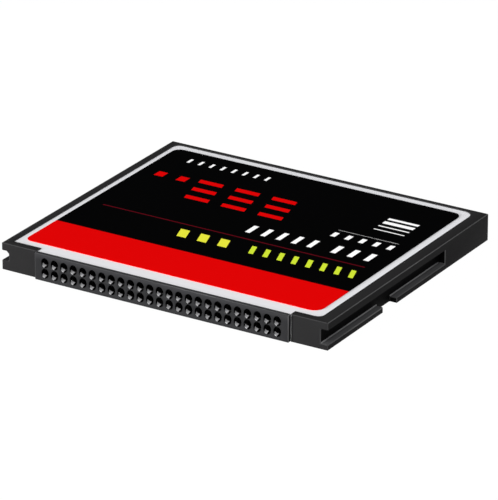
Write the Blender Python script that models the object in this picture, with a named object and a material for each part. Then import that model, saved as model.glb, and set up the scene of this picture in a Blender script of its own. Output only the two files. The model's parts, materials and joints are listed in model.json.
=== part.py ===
"""Compact flash memory card, type I: a moulded frame closed by two sheet-metal covers, a fifty-way socket
connector across the front edge, and the populated circuit board that they enclose.

Metres, +Z up. X runs along the connector, Y from the connector to the back edge, and Z up from the underside.
The origin is under the middle of the card.
"""

import math

import bmesh
import bpy
from mathutils import Vector
from mathutils.geometry import delaunay_2d_cdt

MM = 0.001

# The card's outside
CARD_WIDTH = 42.80 * MM
CARD_LENGTH = 36.40 * MM
CARD_THICKNESS = 3.30 * MM
CONNECTOR_PROUD = 0.45 * MM  # the connector's face in front of the frame's
EDGE_CHAMFER = 0.10 * MM

# Clearances
SEAT_GAP = 0.02 * MM  # between pieces that lie on each other
SLIP_GAP = 0.05 * MM  # beside pieces that drop into each other
CUT_OVER = 0.50 * MM  # how far a cutter runs past the face that it opens

# Guide grooves along both sides, measured from the connector's face and from the underside
GROOVE_DEPTH = 1.00 * MM
GROOVE_LENGTH = 26.35 * MM
GROOVE_CEILING = 2.24 * MM
RIGHT_LOWER_LIP = 0.64 * MM  # the thinner lip, so that the card goes in only one way up
LEFT_LOWER_LIP = 1.04 * MM
LIP_GAP_START = 12.45 * MM
LIP_GAP_LENGTH = 3.00 * MM

# The frame's walls, and the rims left round the covers
GROOVE_WEB = 1.20 * MM  # the plastic behind a groove
BACK_WALL = 1.90 * MM
UPPER_RIM_LEFT = 1.00 * MM
LOWER_RIM_LEFT = 1.50 * MM
RIM_RIGHT = 1.50 * MM
RIM_BACK = 0.70 * MM
RIM_FRONT = 1.00 * MM
SHELF_REACH = 2.40 * MM  # shelves in the cavity's corners, which carry the board
SHELF_LENGTH = 2.40 * MM
SHELF_RELIEF = 0.30 * MM  # behind the contacts' tails, and in front of the back wall

# Covers, pressed from sheet, with corner radii going round from the front left
COVER_THICKNESS = 0.20 * MM
COVER_RADII = (0.20 * MM, 0.80 * MM, 1.20 * MM, 0.90 * MM)
CLIP_LENGTH = 3.20 * MM
CLIP_HEIGHT = 0.90 * MM
CLIP_PITCH = 7.60 * MM
CLIPS_PER_SIDE = 3
BARB_REACH = 0.15 * MM
BARB_HEIGHT = 0.30 * MM

# The printed film on the upper cover, and the pale margins of bare metal round it
LABEL_THICKNESS = 0.06 * MM
MARGIN_LEFT = 0.70 * MM
MARGIN_RIGHT = 0.95 * MM
MARGIN_BACK = 1.05 * MM
MARGIN_FRONT = 1.15 * MM
LABEL_RADII = (0.80 * MM, 1.30 * MM, 1.00 * MM, 1.00 * MM)
RED_BAND_DEPTH = 6.45 * MM
CORNER_STEPS = 4

# Socket connector
CONTACT_COLUMNS = 25
CONTACT_PITCH = 1.27 * MM
ROW_PITCH = 1.27 * MM
HOUSING_END_WALL = 1.36 * MM  # from the last socket's axis to the housing's end
HOUSING_LENGTH = 5.00 * MM
HOUSING_CHAMFER = 0.08 * MM
FLANGE_LENGTH = 0.55 * MM
SOCKET_SIDES = 12
MOUTH_RADIUS = 0.51 * MM
MOUTH_DEPTH = 0.10 * MM
SOCKET_RADIUS = 0.45 * MM
SOCKET_DEPTH = 3.60 * MM
EAR_REACH = 0.90 * MM
EAR_LENGTH = 1.80 * MM
EAR_HEIGHT = 1.30 * MM
EAR_SETBACK = 1.20 * MM  # behind the flange

# Contacts, stamped from strip and rolled round the mating pin
CONTACT_WALL = 0.10 * MM
CONTACT_SETBACK = 0.18 * MM
BARREL_LENGTH = 3.00 * MM
BARREL_SIDES = 9
SEAM_ANGLE = math.radians(36)
TAIL_ON_BOARD = 1.40 * MM

# Circuit board and what is soldered to it
BOARD_THICKNESS = 0.50 * MM
BOARD_SIDE_GAP = 0.15 * MM
BOARD_FRONT_GAP = 0.40 * MM
FLASH_SIZE = (14.00 * MM, 18.00 * MM, 0.88 * MM)
CONTROLLER_SIZE = (10.00 * MM, 10.00 * MM, 0.80 * MM)
CRYSTAL_SIZE = (3.20 * MM, 2.50 * MM, 0.70 * MM)
CAPACITOR_SIZE = (0.60 * MM, 1.00 * MM, 0.45 * MM)
CHIP_CHAMFER = 0.10 * MM
CHIP_MARK_RADIUS = 0.50 * MM
CHIP_MARK_DEPTH = 0.08 * MM
CHIP_MARK_INSET = 1.40 * MM
CAPACITOR_PITCH = 2.20 * MM
CAPACITORS_PER_ROW = 6

# Where the chips lie, from the middle of the board
UPPER_FLASH_LEFT = 8.50 * MM
LOWER_FLASH_RIGHT = 2.00 * MM
FLASH_BEHIND = 2.00 * MM
CONTROLLER_RIGHT = 8.50 * MM
CONTROLLER_BEHIND = 4.00 * MM
CRYSTAL_GAP = 3.25 * MM  # in front of the controller
CAPACITOR_GAP = 2.00 * MM  # in front of the upper flash chip

# Places that several pieces share
RIGHT_X = CARD_WIDTH / 2
LEFT_X = -RIGHT_X
FRONT_Y = -CARD_LENGTH / 2
BACK_Y = CARD_LENGTH / 2
FRAME_FRONT_Y = FRONT_Y + CONNECTOR_PROUD
FLANGE_BACK_Y = FRONT_Y + FLANGE_LENGTH
HOUSING_BACK_Y = FRONT_Y + HOUSING_LENGTH
MID_Z = CARD_THICKNESS / 2
RAIL_WIDTH = GROOVE_DEPTH + GROOVE_WEB
CAVITY_HALF = RIGHT_X - RAIL_WIDTH
CAVITY_FRONT_Y = HOUSING_BACK_Y
CAVITY_BACK_Y = BACK_Y - BACK_WALL
HOUSING_HALF = (CONTACT_COLUMNS - 1) * CONTACT_PITCH / 2 + HOUSING_END_WALL
BAY_HALF = HOUSING_HALF + SLIP_GAP
UPPER_COVER_TOP = CARD_THICKNESS - LABEL_THICKNESS - SEAT_GAP
UPPER_COVER_BOTTOM = UPPER_COVER_TOP - COVER_THICKNESS
UPPER_LEDGE = UPPER_COVER_BOTTOM - SEAT_GAP
LOWER_LEDGE = COVER_THICKNESS + SEAT_GAP
BOARD_TOP = MID_Z + BOARD_THICKNESS / 2
BOARD_BOTTOM = MID_Z - BOARD_THICKNESS / 2
BOARD_FRONT_Y = HOUSING_BACK_Y + BOARD_FRONT_GAP
BOARD_BACK_Y = CAVITY_BACK_Y - BOARD_SIDE_GAP
BOARD_MIDDLE_Y = (BOARD_FRONT_Y + BOARD_BACK_Y) / 2
CONTROLLER_FRONT = CONTROLLER_BEHIND - CONTROLLER_SIZE[1] / 2
FLASH_FRONT = FLASH_BEHIND - FLASH_SIZE[1] / 2
UPPER_FLASH_AT = (-UPPER_FLASH_LEFT, FLASH_BEHIND)
LOWER_FLASH_AT = (LOWER_FLASH_RIGHT, FLASH_BEHIND)
CONTROLLER_AT = (CONTROLLER_RIGHT, CONTROLLER_BEHIND)
CRYSTAL_AT = (CONTROLLER_RIGHT, CONTROLLER_FRONT - CRYSTAL_GAP - CRYSTAL_SIZE[1] / 2)
CAPACITORS_AT = (-UPPER_FLASH_LEFT, FLASH_FRONT - CAPACITOR_GAP - CAPACITOR_SIZE[1] / 2)
BARREL_RADIUS = SOCKET_RADIUS * math.cos(math.pi / SOCKET_SIDES) - SEAT_GAP
BARREL_STEP = (2 * math.pi - SEAM_ANGLE) / BARREL_SIDES
TAIL_DROP = BARREL_RADIUS * math.cos(BARREL_STEP / 2)  # from a barrel's axis to its tail's outer face

# What is printed, in plain blocks: finish, left, right, near and far edge in mm from the frame's front,
# how far the far edge leans to the left, how many blocks share the width, and how much of each share is inked
PRINTED_BLOCKS = (
    ("label_dark_red", -17.7, 17.1, 15.10, 15.42, 0.0, 1, 1.0),
    ("label_lime", 3.9, 16.9, 11.75, 14.05, 0.75, 8, 0.58),
    ("label_lime", -5.6, 1.0, 11.75, 14.05, 0.75, 3, 0.64),
    ("label_white", 11.7, 17.1, 16.70, 19.20, 0.0, 3, 0.55),
    ("label_white", 1.0, 9.1, 16.70, 19.20, 0.0, 5, 0.50),
    ("label_white", 9.2, 17.1, 20.90, 22.20, 0.0, 5, 0.56),
    ("label_white", 9.2, 17.1, 22.78, 23.02, 0.0, 1, 1.0),
    ("label_white", 12.7, 17.1, 25.05, 25.70, 0.0, 1, 1.0),
    ("label_white", 12.7, 17.1, 26.15, 26.80, 0.0, 1, 1.0),
    ("label_white", 12.7, 17.1, 27.25, 27.90, 0.0, 1, 1.0),
    ("label_white", 12.7, 17.1, 28.35, 29.00, 0.0, 1, 1.0),
    ("label_red", -11.8, 2.2, 21.50, 23.10, 0.0, 3, 0.88),
    ("label_red", -11.8, 2.2, 23.85, 25.45, 0.0, 3, 0.88),
    ("label_red", -11.8, 2.2, 26.20, 27.80, 0.0, 3, 0.88),
    ("label_red", -17.6, -13.4, 25.35, 27.65, 0.0, 2, 0.76),
    ("label_white", -16.4, -5.4, 30.90, 32.40, 0.0, 8, 0.46),
)
PRINT_TOLERANCE = 1e-4  # mm, below which two corners of the print are one

COLOURS = {
    "frame_plastic": ((0.014, 0.014, 0.015), 0.45, 0.0),
    "connector_plastic": ((0.030, 0.030, 0.032), 0.50, 0.0),
    "cover_steel": ((0.72, 0.72, 0.74), 0.30, 1.0),
    "label_black": ((0.003, 0.003, 0.004), 0.30, 0.0),
    "label_red": ((0.75, 0.002, 0.002), 0.30, 0.0),
    "label_dark_red": ((0.13, 0.003, 0.008), 0.30, 0.0),
    "label_white": ((0.85, 0.85, 0.85), 0.30, 0.0),
    "label_lime": ((0.70, 0.78, 0.05), 0.30, 0.0),
    "contact_metal": ((0.72, 0.70, 0.66), 0.25, 1.0),
    "board_laminate": ((0.010, 0.090, 0.035), 0.40, 0.0),
    "package_resin": ((0.020, 0.020, 0.022), 0.60, 0.0),
    "crystal_can": ((0.60, 0.60, 0.58), 0.30, 1.0),
}


def clear_scene():
    for old in list(bpy.data.objects):
        bpy.data.objects.remove(old, do_unlink=True)


def material(name):
    """The named finish, made on first use."""
    found = bpy.data.materials.get(name)
    if found:
        return found
    colour, roughness, metallic = COLOURS[name]
    made = bpy.data.materials.new(name)
    made.use_nodes = True
    shader = made.node_tree.nodes["Principled BSDF"]
    shader.inputs["Base Color"].default_value = (*colour, 1.0)
    shader.inputs["Roughness"].default_value = roughness
    shader.inputs["Metallic"].default_value = metallic
    made.diffuse_color = (*colour, 1.0)
    return made


def mesh_from(name, bm, *finishes):
    bmesh.ops.recalc_face_normals(bm, faces=bm.faces)
    mesh = bpy.data.meshes.new(name)
    bm.to_mesh(mesh)
    bm.free()
    for finish in finishes:
        mesh.materials.append(material(finish))
    return mesh


def place(name, mesh, location=(0.0, 0.0, 0.0), rotation=(0.0, 0.0, 0.0)):
    obj = bpy.data.objects.new(name, mesh)
    obj.location = location
    obj.rotation_euler = rotation
    bpy.context.scene.collection.objects.link(obj)
    return obj


def smooth_round_faces(mesh):
    mesh.shade_smooth()
    mesh.set_sharp_from_angle(angle=math.radians(45))


def around(middle, half):
    return (middle - half, middle + half)


def ordered(a, b):
    return (min(a, b), max(a, b))


def add_prism(bm, outline, low, high, to_point):
    """A closed prism: to_point(u, v, w) places the outline's (u, v) at the heights w low and high."""
    near = [bm.verts.new(to_point(u, v, low)) for u, v in outline]
    far = [bm.verts.new(to_point(u, v, high)) for u, v in outline]
    bm.faces.new(reversed(near))
    bm.faces.new(far)
    for i in range(len(outline)):
        j = (i + 1) % len(outline)
        bm.faces.new((near[i], near[j], far[j], far[i]))


def upright(u, v, w):
    return (u, v, w)


def sideways(u, v, w):
    """An outline drawn in Y and Z, extruded along X."""
    return (w, u, v)


def prism(name, outline, low, high, to_point, *finishes):
    bm = bmesh.new()
    add_prism(bm, outline, low, high, to_point)
    return place(name, mesh_from(name, bm, *finishes))


def boxes(name, spans, *finishes):
    """One object of separate boxes, each given by its (low, high) pairs along X, Y and Z."""
    bm = bmesh.new()
    for x, y, z in spans:
        add_prism(bm, [(x[0], y[0]), (x[1], y[0]), (x[1], y[1]), (x[0], y[1])], z[0], z[1], upright)
    return place(name, mesh_from(name, bm, *finishes))


def combine(target, other, operation):
    """Cuts away or joins a helper shape, which stays out of the model itself."""
    other.hide_render = True
    other.display_type = "WIRE"
    step = target.modifiers.new(f"{operation.lower()} {other.name}", "BOOLEAN")
    step.operation = operation
    step.object = other
    step.solver = "EXACT"


def cut(target, *cutters):
    for cutter in cutters:
        combine(target, cutter, "DIFFERENCE")


def join(target, *others):
    for other in others:
        combine(target, other, "UNION")


def chamfer(target, width):
    step = target.modifiers.new("chamfer", "BEVEL")
    step.width = width
    step.segments = 1
    step.limit_method = "ANGLE"
    step.angle_limit = math.radians(40)


def corner_arc(x, y, radius, quarter):
    """A rounded corner whose square corner is at (x, y); quarter 0 is the front left, counting anticlockwise."""
    toward_x = 1 if quarter in (0, 3) else -1
    toward_y = 1 if quarter in (0, 1) else -1
    start = math.pi + quarter * math.pi / 2
    turns = [start + i * math.pi / 2 / CORNER_STEPS for i in range(CORNER_STEPS + 1)]
    centre = (x + toward_x * radius, y + toward_y * radius)
    return [(centre[0] + radius * math.cos(t), centre[1] + radius * math.sin(t)) for t in turns]


def cover_outline(rim_left, grow):
    """A cover's outline, grown all round: a rounded plate with a tongue over the connector."""
    left = LEFT_X + rim_left - grow
    right = RIGHT_X - RIM_RIGHT + grow
    shoulder = FRAME_FRONT_Y + RIM_FRONT - grow
    tongue = FLANGE_BACK_Y + SLIP_GAP - grow
    back = BACK_Y - RIM_BACK + grow
    half = HOUSING_HALF + grow
    return [
        *corner_arc(left, shoulder, COVER_RADII[0], 0),
        (-half, shoulder),
        (-half, tongue),
        (half, tongue),
        (half, shoulder),
        *corner_arc(right, shoulder, COVER_RADII[1], 1),
        *corner_arc(right, back, COVER_RADII[2], 2),
        *corner_arc(left, back, COVER_RADII[3], 3),
    ]


def label_edges():
    """The film's left, right, front and back edges."""
    left = LEFT_X + UPPER_RIM_LEFT + MARGIN_LEFT
    right = RIGHT_X - RIM_RIGHT - MARGIN_RIGHT
    front = FRAME_FRONT_Y + RIM_FRONT + MARGIN_FRONT
    back = BACK_Y - RIM_BACK - MARGIN_BACK
    return left, right, front, back


def clip_places():
    """(side, y) of each spring clip along the rails; side is -1 on the left."""
    middle = (CAVITY_FRONT_Y + CAVITY_BACK_Y) / 2
    first = middle - (CLIPS_PER_SIDE - 1) * CLIP_PITCH / 2
    return [(side, first + i * CLIP_PITCH) for side in (-1, 1) for i in range(CLIPS_PER_SIDE)]


def make_clip(name, side, y, sheet, direction):
    """A clip bent from the sheet and its barb, drawn as one outline; direction is -1 on a clip that hangs."""
    outer = side * (CAVITY_HALF - SLIP_GAP)
    inner = outer - side * COVER_THICKNESS
    barb = outer + side * BARB_REACH
    root = sheet - direction * COVER_THICKNESS / 2
    tip = sheet + direction * CLIP_HEIGHT
    barb_root = tip - direction * BARB_HEIGHT
    outline = [(inner, root), (outer, root), (outer, barb_root), (barb, barb_root), (outer, tip), (inner, tip)]
    along = around(y, CLIP_LENGTH / 2)
    return prism(name, outline, along[0], along[1], lambda u, v, w: (u, w, v))


def barb_notch(side, y, sheet, direction):
    """The pocket in the rail that a barb snaps into."""
    face = side * CAVITY_HALF
    tip = sheet + direction * (CLIP_HEIGHT + SLIP_GAP)
    barb_root = sheet + direction * (CLIP_HEIGHT - BARB_HEIGHT - SLIP_GAP)
    return (
        ordered(face - side * CUT_OVER, face + side * BARB_REACH),
        around(y, CLIP_LENGTH / 2 + SLIP_GAP),
        ordered(barb_root, tip),
    )


def make_frame():
    """The moulded frame: two grooved rails, a back wall, and two front blocks that hold the connector."""
    frame = boxes(
        "frame",
        [((LEFT_X, RIGHT_X), (FRAME_FRONT_Y, BACK_Y), (0.0, CARD_THICKNESS))],
        "frame_plastic",
    )
    through = (-CUT_OVER, CARD_THICKNESS + CUT_OVER)
    cavity = boxes(
        "cavity_cutter",
        [((-CAVITY_HALF, CAVITY_HALF), (CAVITY_FRONT_Y, CAVITY_BACK_Y), through)],
    )
    bay = boxes(
        "connector_bay_cutter",
        [((-BAY_HALF, BAY_HALF), (FRAME_FRONT_Y - CUT_OVER, CAVITY_FRONT_Y + CUT_OVER), through)],
    )
    cut(frame, make_groove_cutter("left", -1, LEFT_LOWER_LIP), make_groove_cutter("right", 1, RIGHT_LOWER_LIP))
    cut(frame, cavity, bay)
    chamfer(frame, EDGE_CHAMFER)
    upper_seat = cover_outline(UPPER_RIM_LEFT, SEAT_GAP)
    lower_seat = cover_outline(LOWER_RIM_LEFT, SEAT_GAP)
    cut(
        frame,
        prism("upper_cover_seat_cutter", upper_seat, UPPER_LEDGE, CARD_THICKNESS + CUT_OVER, upright),
        prism("lower_cover_seat_cutter", lower_seat, -CUT_OVER, LOWER_LEDGE, upright),
        make_ear_pocket_cutter(),
        make_barb_notch_cutter(),
    )
    join(frame, make_shelves())


def make_groove_cutter(hand, side, lip):
    """A guide groove, with the gap in its lower lip, drawn as one outline in Y and Z."""
    start = FRAME_FRONT_Y - CUT_OVER
    end = FRONT_Y + GROOVE_LENGTH
    gap_start = FRONT_Y + LIP_GAP_START
    gap_end = gap_start + LIP_GAP_LENGTH
    outline = [
        (start, lip),
        (gap_start, lip),
        (gap_start, -CUT_OVER),
        (gap_end, -CUT_OVER),
        (gap_end, lip),
        (end, lip),
        (end, GROOVE_CEILING),
        (start, GROOVE_CEILING),
    ]
    x = ordered(side * (RIGHT_X - GROOVE_DEPTH), side * (RIGHT_X + CUT_OVER))
    return prism(f"{hand}_groove_cutter", outline, x[0], x[1], sideways)


def make_ear_pocket_cutter():
    """Pockets in the front blocks, open at the top, that the connector's ears drop into."""
    y = (FLANGE_BACK_Y + EAR_SETBACK - SLIP_GAP, FLANGE_BACK_Y + EAR_SETBACK + EAR_LENGTH + SLIP_GAP)
    z = (MID_Z - EAR_HEIGHT / 2 - SEAT_GAP, UPPER_LEDGE + COVER_THICKNESS / 2)
    outer = HOUSING_HALF + EAR_REACH + SLIP_GAP
    inner = BAY_HALF - CUT_OVER
    return boxes("ear_pocket_cutter", [(ordered(side * inner, side * outer), y, z) for side in (-1, 1)])


def make_barb_notch_cutter():
    spans = []
    for side, y in clip_places():
        spans.append(barb_notch(side, y, UPPER_COVER_BOTTOM, -1))
        spans.append(barb_notch(side, y, COVER_THICKNESS, 1))
    return boxes("barb_notch_cutter", spans)


def make_shelves():
    """A shelf on the rail near each corner of the cavity, below the board."""
    z = (LOWER_LEDGE, BOARD_BOTTOM - SEAT_GAP)
    front = BOARD_FRONT_Y + TAIL_ON_BOARD + SHELF_RELIEF
    back = CAVITY_BACK_Y - SHELF_RELIEF
    spans = []
    for side in (-1, 1):
        x = ordered(side * (CAVITY_HALF + GROOVE_WEB / 2), side * (CAVITY_HALF - SHELF_REACH))
        spans.append((x, (front, front + SHELF_LENGTH), z))
        spans.append((x, (back - SHELF_LENGTH, back), z))
    return boxes("board_shelves", spans)


def make_cover(name, rim_left, bottom, direction):
    """A pressed cover with spring clips bent along both sides; direction is -1 where they hang."""
    top = bottom + COVER_THICKNESS
    cover = prism(name, cover_outline(rim_left, 0.0), bottom, top, upright, "cover_steel")
    sheet = bottom if direction < 0 else top
    for i, (side, y) in enumerate(clip_places(), start=1):
        join(cover, make_clip(f"{name}_clip_{i}", side, y, sheet, direction))


def printed_block(left, right, near, far, lean):
    """A block's corners on the card, in millimetres."""
    front = FRAME_FRONT_Y / MM
    return [(left, front + near), (right, front + near), (right - lean, front + far), (left - lean, front + far)]


def printed_shapes():
    """(finish, corners) of each printed shape, from the ground up, in millimetres."""
    left, right, front, _ = (edge / MM for edge in label_edges())
    band_back = front + RED_BAND_DEPTH / MM
    shapes = [("label_red", [(left, front), (right, front), (right, band_back), (left, band_back)])]
    for finish, start, end, near, far, lean, count, inked in PRINTED_BLOCKS:
        share = (end - start) / (count - 1 + inked)  # the last block ends on the right edge
        for i in range(count):
            x = start + i * share
            shapes.append((finish, printed_block(x, x + share * inked, near, far, lean)))
    return shapes


def make_label():
    """The printed film: its top is divided along the edges of the print, and each field has its finish."""
    left, right, front, back = label_edges()
    corners = ((left, front), (right, front), (right, back), (left, back))
    outline = []
    for quarter, (x, y) in enumerate(corners):
        outline += [(px / MM, py / MM) for px, py in corner_arc(x, y, LABEL_RADII[quarter], quarter)]
    finishes = ["label_black", "label_red", "label_dark_red", "label_white", "label_lime"]
    fields = ["label_black"]
    points = list(outline)
    loops = [list(range(len(outline)))]
    for finish, shape in printed_shapes():
        loops.append(list(range(len(points), len(points) + len(shape))))
        points += shape
        fields.append(finish)
    flat = [Vector(point) for point in points]
    inside_only = 1
    verts, _, faces, _, _, sources = delaunay_2d_cdt(flat, [], loops, inside_only, PRINT_TOLERANCE)
    bm = bmesh.new()
    top = [bm.verts.new((x * MM, y * MM, CARD_THICKNESS)) for x, y in verts]
    for face, owners in zip(faces, sources):
        if 0 in owners:
            printed = bm.faces.new([top[i] for i in face])
            printed.material_index = finishes.index(fields[max(owners)])
    bmesh.ops.delete(bm, geom=[vert for vert in bm.verts if not vert.link_faces], context="VERTS")
    rim = [edge for edge in bm.edges if edge.is_boundary]
    sides = bmesh.ops.extrude_edge_only(bm, edges=rim)["geom"]
    lowered = [item for item in sides if isinstance(item, bmesh.types.BMVert)]
    bmesh.ops.translate(bm, verts=lowered, vec=(0.0, 0.0, -LABEL_THICKNESS))
    bmesh.ops.contextual_create(bm, geom=[edge for edge in bm.edges if edge.is_boundary])
    place("label", mesh_from("label", bm, *finishes))


def contact_places():
    """(x, row) of each socket, row 1 being the upper and row -1 the lower, from the left."""
    first = -(CONTACT_COLUMNS - 1) * CONTACT_PITCH / 2
    return [(first + i * CONTACT_PITCH, row) for row in (1, -1) for i in range(CONTACT_COLUMNS)]


def row_height(row):
    return MID_Z + row * ROW_PITCH / 2


def make_connector():
    """The moulded housing: a flange at the front, fifty sockets, and an ear at each end."""
    outline = [
        (FRONT_Y, 0.0),
        (FLANGE_BACK_Y, 0.0),
        (FLANGE_BACK_Y, LOWER_LEDGE),
        (HOUSING_BACK_Y, LOWER_LEDGE),
        (HOUSING_BACK_Y, UPPER_LEDGE),
        (FLANGE_BACK_Y, UPPER_LEDGE),
        (FLANGE_BACK_Y, CARD_THICKNESS),
        (FRONT_Y, CARD_THICKNESS),
    ]
    housing = prism("connector_housing", outline, -HOUSING_HALF, HOUSING_HALF, sideways, "connector_plastic")
    chamfer(housing, HOUSING_CHAMFER)
    join(housing, make_ears())
    cut(housing, make_socket_cutter(), make_tail_slot_cutter())


def make_ears():
    y = (FLANGE_BACK_Y + EAR_SETBACK, FLANGE_BACK_Y + EAR_SETBACK + EAR_LENGTH)
    inner = HOUSING_HALF - HOUSING_END_WALL / 2
    outer = HOUSING_HALF + EAR_REACH
    spans = [(ordered(side * inner, side * outer), y, around(MID_Z, EAR_HEIGHT / 2)) for side in (-1, 1)]
    return boxes("connector_ears", spans)


def make_socket_cutter():
    """Fifty turned shapes, each a lead-in cone and a straight bore."""
    profile = (
        (MOUTH_RADIUS, FRONT_Y - CUT_OVER),
        (MOUTH_RADIUS, FRONT_Y),
        (SOCKET_RADIUS, FRONT_Y + MOUTH_DEPTH),
        (SOCKET_RADIUS, FRONT_Y + SOCKET_DEPTH),
    )
    turns = [(i + 0.5) * 2 * math.pi / SOCKET_SIDES for i in range(SOCKET_SIDES)]
    bm = bmesh.new()
    for x, row in contact_places():
        z = row_height(row)
        rings = [
            [bm.verts.new((x + radius * math.sin(t), y, z + radius * math.cos(t))) for t in turns]
            for radius, y in profile
        ]
        bm.faces.new(rings[0])
        bm.faces.new(reversed(rings[-1]))
        for near, far in zip(rings, rings[1:]):
            for i in range(SOCKET_SIDES):
                j = (i + 1) % SOCKET_SIDES
                bm.faces.new((near[i], near[j], far[j], far[i]))
    return place("socket_cutter", mesh_from("socket_cutter", bm))


def make_tail_slot_cutter():
    """The slots through the housing's rear wall that the contacts' tails leave by."""
    half = BARREL_RADIUS * math.sin(BARREL_STEP / 2) + SLIP_GAP
    y = (FRONT_Y + SOCKET_DEPTH - CUT_OVER, HOUSING_BACK_Y + CUT_OVER)
    spans = []
    for x, row in contact_places():
        outer = row_height(row) - row * (TAIL_DROP + SLIP_GAP)
        inner = row_height(row) - row * (TAIL_DROP - CONTACT_WALL - SLIP_GAP)
        spans.append((around(x, half), y, ordered(outer, inner)))
    return boxes("tail_slot_cutter", spans)


def contact_mesh():
    """A rolled barrel, open along a seam at the top, whose bottom strip runs on as the solder tail."""
    turns = [math.pi / 2 + SEAM_ANGLE / 2 + i * BARREL_STEP for i in range(BARREL_SIDES + 1)]
    front = FRONT_Y + CONTACT_SETBACK
    back = front + BARREL_LENGTH
    bm = bmesh.new()

    def ring(radius, y):
        return [bm.verts.new((radius * math.cos(t), y, radius * math.sin(t))) for t in turns]

    outer = (ring(BARREL_RADIUS, front), ring(BARREL_RADIUS, back))
    inner = (ring(BARREL_RADIUS - CONTACT_WALL, front), ring(BARREL_RADIUS - CONTACT_WALL, back))
    bottom = BARREL_SIDES // 2
    for i in range(BARREL_SIDES):
        j = i + 1
        bm.faces.new((outer[0][i], outer[0][j], outer[1][j], outer[1][i]))
        bm.faces.new((inner[0][j], inner[0][i], inner[1][i], inner[1][j]))
        bm.faces.new((outer[0][j], outer[0][i], inner[0][i], inner[0][j]))
        if i != bottom:
            bm.faces.new((outer[1][i], outer[1][j], inner[1][j], inner[1][i]))
    for i in (0, BARREL_SIDES):
        bm.faces.new((outer[0][i], outer[1][i], inner[1][i], inner[0][i]))

    root = [outer[1][bottom], outer[1][bottom + 1], inner[1][bottom + 1], inner[1][bottom]]
    lift = BOARD_TOP + SEAT_GAP - (row_height(1) - TAIL_DROP)
    stations = (
        (HOUSING_BACK_Y + SLIP_GAP, 0.0),
        (BOARD_FRONT_Y - SLIP_GAP, lift),
        (BOARD_FRONT_Y + TAIL_ON_BOARD, lift),
    )
    section = root
    for y, rise in stations:
        following = [bm.verts.new((vert.co.x, y, vert.co.z + rise)) for vert in root]
        for i in range(4):
            j = (i + 1) % 4
            bm.faces.new((section[i], section[j], following[j], following[i]))
        section = following
    bm.faces.new(section)
    mesh = mesh_from("contact", bm, "contact_metal")
    smooth_round_faces(mesh)
    return mesh


def make_contacts():
    """All fifty share one mesh; the lower row is turned over, so that its tails meet the board's underside."""
    mesh = contact_mesh()
    for number, (x, row) in enumerate(contact_places(), start=1):
        turn = 0.0 if row > 0 else math.pi
        place(f"contact_{number:02d}", mesh, (x, 0.0, row_height(row)), (0.0, turn, 0.0))


def make_board():
    half = CAVITY_HALF - BOARD_SIDE_GAP
    board = boxes(
        "circuit_board",
        [((-half, half), (BOARD_FRONT_Y, BOARD_BACK_Y), (BOARD_BOTTOM, BOARD_TOP))],
        "board_laminate",
    )
    width, length, height = CAPACITOR_SIZE
    first = CAPACITORS_AT[0] - (CAPACITORS_PER_ROW - 1) * CAPACITOR_PITCH / 2
    y = around(BOARD_MIDDLE_Y + CAPACITORS_AT[1], length / 2)
    z = (MID_Z, BOARD_TOP + height)
    spans = [(around(first + i * CAPACITOR_PITCH, width / 2), y, z) for i in range(CAPACITORS_PER_ROW)]
    join(board, boxes("chip_capacitors", spans))


def make_chip(name, size, at, side, finish, marked):
    """A package on the board's upper (side 1) or lower (side -1) face, with a dimple by its first terminal."""
    width, length, height = size
    x = at[0]
    y = BOARD_MIDDLE_Y + at[1]
    near = MID_Z + side * (BOARD_THICKNESS / 2 + SEAT_GAP)
    far = near + side * height
    chip = boxes(name, [(around(x, width / 2), around(y, length / 2), ordered(near, far))], finish)
    chamfer(chip, CHIP_CHAMFER)
    if marked:
        bm = bmesh.new()
        bmesh.ops.create_cone(
            bm,
            cap_ends=True,
            segments=SOCKET_SIDES,
            radius1=CHIP_MARK_RADIUS,
            radius2=CHIP_MARK_RADIUS,
            depth=2 * CHIP_MARK_DEPTH,
        )
        corner = (x - width / 2 + CHIP_MARK_INSET, y - length / 2 + CHIP_MARK_INSET, far)
        cut(chip, place(f"{name}_mark_cutter", mesh_from(f"{name}_mark_cutter", bm), corner))


def make_card():
    clear_scene()
    make_frame()
    make_cover("top_cover", UPPER_RIM_LEFT, UPPER_COVER_BOTTOM, -1)
    make_cover("bottom_cover", LOWER_RIM_LEFT, 0.0, 1)
    make_label()
    make_connector()
    make_contacts()
    make_board()
    make_chip("flash_chip_1", FLASH_SIZE, UPPER_FLASH_AT, 1, "package_resin", True)
    make_chip("flash_chip_2", FLASH_SIZE, LOWER_FLASH_AT, -1, "package_resin", True)
    make_chip("controller_chip", CONTROLLER_SIZE, CONTROLLER_AT, 1, "package_resin", True)
    make_chip("crystal", CRYSTAL_SIZE, CRYSTAL_AT, 1, "crystal_can", False)


make_card()
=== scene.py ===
import json
import math

import bmesh
import bpy
from mathutils import Matrix, Vector


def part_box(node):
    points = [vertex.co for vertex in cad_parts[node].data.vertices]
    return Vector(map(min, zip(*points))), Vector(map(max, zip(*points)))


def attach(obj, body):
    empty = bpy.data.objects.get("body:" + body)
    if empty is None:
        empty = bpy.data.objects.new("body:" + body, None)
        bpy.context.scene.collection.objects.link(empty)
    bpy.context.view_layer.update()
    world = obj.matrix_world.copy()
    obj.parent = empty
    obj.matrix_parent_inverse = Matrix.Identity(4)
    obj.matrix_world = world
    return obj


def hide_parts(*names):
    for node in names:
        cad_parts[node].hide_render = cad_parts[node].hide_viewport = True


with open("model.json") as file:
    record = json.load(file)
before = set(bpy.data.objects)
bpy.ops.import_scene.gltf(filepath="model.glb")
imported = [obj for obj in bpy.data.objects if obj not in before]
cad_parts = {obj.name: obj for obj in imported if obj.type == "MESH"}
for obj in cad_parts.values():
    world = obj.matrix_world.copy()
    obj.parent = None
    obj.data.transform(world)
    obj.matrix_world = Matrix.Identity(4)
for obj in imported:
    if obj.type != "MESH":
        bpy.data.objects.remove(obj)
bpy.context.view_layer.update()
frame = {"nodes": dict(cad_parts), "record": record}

mm = 0.001


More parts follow.
